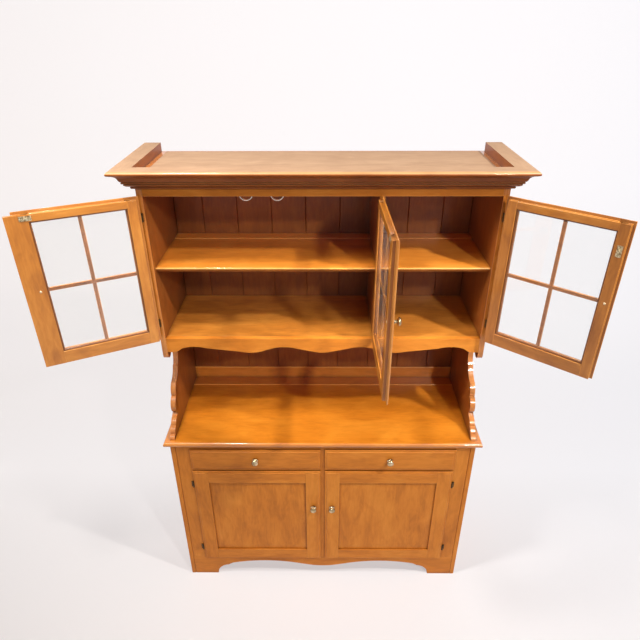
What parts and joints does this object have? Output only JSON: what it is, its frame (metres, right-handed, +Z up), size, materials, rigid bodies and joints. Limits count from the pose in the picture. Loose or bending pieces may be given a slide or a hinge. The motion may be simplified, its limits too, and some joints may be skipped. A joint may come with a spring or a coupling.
{
  "type": "step back cupboard",
  "caption": "Lacquered maple step back cupboard: a base with drawers and panelled doors under a counter, and a shallower glazed hutch on scrolled sides, its doors standing open.",
  "frame": {"origin": "on the floor, at the middle of the back face that stands against the wall", "axes": "+Z up, +Y into the wall, so the front faces -Y, +X to the right seen from the front"},
  "size_m": [1.7936, 0.7689, 1.768],
  "materials": {
    "maple": "clear gloss lacquer over honey stain",
    "drawer_wood": "bare sanded wood",
    "peg_wood": "bare turned wood",
    "pane_glass": "clear window glass",
    "brass_hardware": "polished, slightly aged",
    "hinge_brass": "antiqued",
    "catch_steel": "plain spring steel"
  },
  "bodies": {
    "carcass": {"back_boards": "maple", "back_rail": "maple", "base_apron": "maple", "base_back": "maple", "base_bottom": "maple", "base_rails": "maple", "base_shelf": "maple", "base_side_left": "maple", "base_side_right": "maple", "base_stiles": "maple", "case_bottom": "maple", "case_hinge_leaves": "hinge_brass", "case_top": "maple", "catch_clips": "catch_steel", "cornice_front": "maple", "cornice_returns": "maple", "counter_top": "maple", "drawer_divider": "drawer_wood", "drawer_runners": "drawer_wood", "frieze_rail": "maple", "hutch_partition": "maple", "hutch_side_left": "maple", "hutch_side_right": "maple", "shaped_apron": "maple", "shelf_narrow": "maple", "shelf_pegs": "peg_wood", "shelf_wide": "maple"},
    "left_door": {"left_door_fittings": "hinge_brass", "left_door_frame": "maple", "left_door_glass": "pane_glass", "left_door_glazing_bars": "maple", "left_door_knob": "brass_hardware"},
    "middle_door": {"middle_door_fittings": "hinge_brass", "middle_door_frame": "maple", "middle_door_glass": "pane_glass", "middle_door_glazing_bars": "maple", "middle_door_knob": "brass_hardware"},
    "right_door": {"right_door_fittings": "hinge_brass", "right_door_frame": "maple", "right_door_glass": "pane_glass", "right_door_glazing_bars": "maple", "right_door_knob": "brass_hardware"},
    "left_base_door": {"left_base_door_frame": "maple", "left_base_door_hinges": "hinge_brass", "left_base_door_knob": "brass_hardware", "left_base_door_panel": "maple"},
    "right_base_door": {"right_base_door_frame": "maple", "right_base_door_hinges": "hinge_brass", "right_base_door_knob": "brass_hardware", "right_base_door_panel": "maple"},
    "left_drawer": {"left_drawer_bottom": "drawer_wood", "left_drawer_box": "drawer_wood", "left_drawer_front": "maple", "left_drawer_knob": "brass_hardware"},
    "right_drawer": {"right_drawer_bottom": "drawer_wood", "right_drawer_box": "drawer_wood", "right_drawer_front": "maple", "right_drawer_knob": "brass_hardware"}
  },
  "joints": [
    {"name": "left_door_hinge", "type": "hinge", "parent": "carcass", "child": "left_door", "pos_m": [-0.5759, -0.373, 0], "axis": [0, 0, -1], "range_deg": [-153, 15]},
    {"name": "middle_door_hinge", "type": "hinge", "parent": "carcass", "child": "middle_door", "pos_m": [0.1894, -0.373, 0], "axis": [0, 0, 1], "range_deg": [-91, 0]},
    {"name": "right_door_hinge", "type": "hinge", "parent": "carcass", "child": "right_door", "pos_m": [0.5759, -0.373, 0], "axis": [0, 0, 1], "range_deg": [-139, 29]},
    {"name": "left_base_door_hinge", "type": "hinge", "parent": "carcass", "child": "left_base_door", "pos_m": [-0.5189, -0.47, 0], "axis": [0, 0, -1], "range_deg": [0, 120]},
    {"name": "right_base_door_hinge", "type": "hinge", "parent": "carcass", "child": "right_base_door", "pos_m": [0.5189, -0.47, 0], "axis": [0, 0, 1], "range_deg": [0, 120]},
    {"name": "left_drawer_slide", "type": "slide", "parent": "carcass", "child": "left_drawer", "axis": [0, -1, 0], "range_m": [0, 0.3]},
    {"name": "right_drawer_slide", "type": "slide", "parent": "carcass", "child": "right_drawer", "axis": [0, -1, 0], "range_m": [0, 0.3]}
  ]
}
